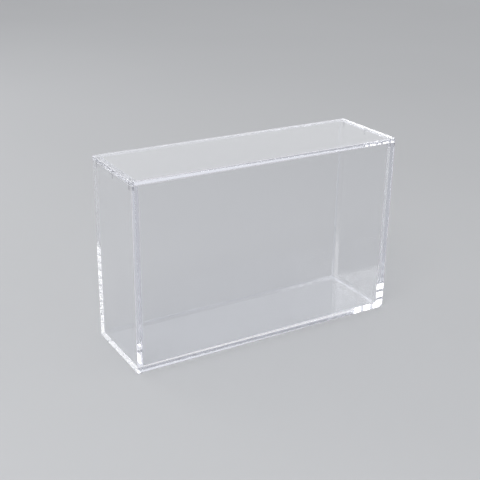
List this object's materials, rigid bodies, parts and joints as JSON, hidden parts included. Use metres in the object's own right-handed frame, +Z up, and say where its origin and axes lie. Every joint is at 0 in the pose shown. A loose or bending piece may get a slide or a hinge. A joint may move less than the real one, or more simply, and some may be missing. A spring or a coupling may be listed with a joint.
{
  "type": "clear card deck box with lift-off lid",
  "caption": "Clear acrylic display box for one boxed card deck, standing on its long edge, with a loose flat lid held down by small magnets in the end walls.",
  "frame": {"origin": "middle of the underside, on the surface the box stands on", "axes": "+X along the long side, from the left end panel to the right one; +Y from the front panel to the back panel; +Z up, the way the lid lifts off"},
  "size_m": [0.276, 0.0834, 0.1795],
  "materials": {
    "clear_acrylic": "polished",
    "nickel_plate": "satin"
  },
  "bodies": {
    "case": {"base_panel": "clear_acrylic", "front_panel": "clear_acrylic", "back_panel": "clear_acrylic", "left_end_panel": "clear_acrylic", "right_end_panel": "clear_acrylic", "wall_magnet_left_front": "nickel_plate", "wall_magnet_left_middle": "nickel_plate", "wall_magnet_left_back": "nickel_plate", "wall_magnet_right_front": "nickel_plate", "wall_magnet_right_middle": "nickel_plate", "wall_magnet_right_back": "nickel_plate"},
    "lid": {"lid_panel": "clear_acrylic", "lid_magnet_left_front": "nickel_plate", "lid_magnet_left_middle": "nickel_plate", "lid_magnet_left_back": "nickel_plate", "lid_magnet_right_front": "nickel_plate", "lid_magnet_right_middle": "nickel_plate", "lid_magnet_right_back": "nickel_plate"}
  },
  "joints": [
    {"name": "lid_lift", "type": "slide", "parent": "case", "child": "lid", "axis": [0, 0, 1], "range_m": [0, 0.2]}
  ]
}
